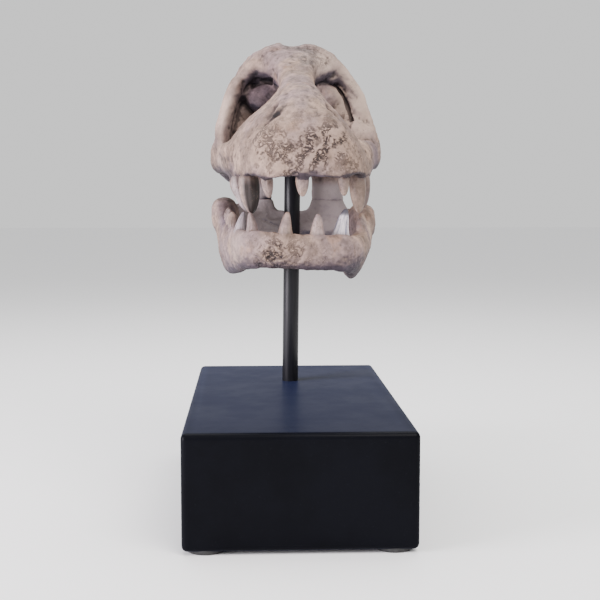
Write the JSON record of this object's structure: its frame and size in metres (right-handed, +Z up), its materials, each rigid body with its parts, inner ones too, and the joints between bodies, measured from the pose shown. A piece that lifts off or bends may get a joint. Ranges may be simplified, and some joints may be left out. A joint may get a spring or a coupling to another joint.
{
  "type": "dinosaur skull display replica on a stand",
  "caption": "Desk-size cast replica of a large meat-eating dinosaur's skull, jaws parted, held by a black rod on a black block base with round feet.",
  "frame": {"origin": "middle of the undersides of the stand's feet, on the table", "axes": "+Z up, the snout points to -Y, +X is the skull's left side as it stands"},
  "size_m": [0.12, 0.226, 0.271],
  "materials": {
    "bone": "matt painted cast resin",
    "block": "satin black lacquer",
    "rod": "satin black",
    "feet": "matt"
  },
  "bodies": {
    "root": {"snout": "bone", "cranium": "bone", "cheek_left": "bone", "cheek_right": "bone", "jaw_left": "bone", "jaw_right": "bone", "stand_base": "block", "stand_rod": "rod", "stand_foot_1": "feet", "stand_foot_2": "feet", "stand_foot_3": "feet", "stand_foot_4": "feet"}
  },
  "joints": []
}
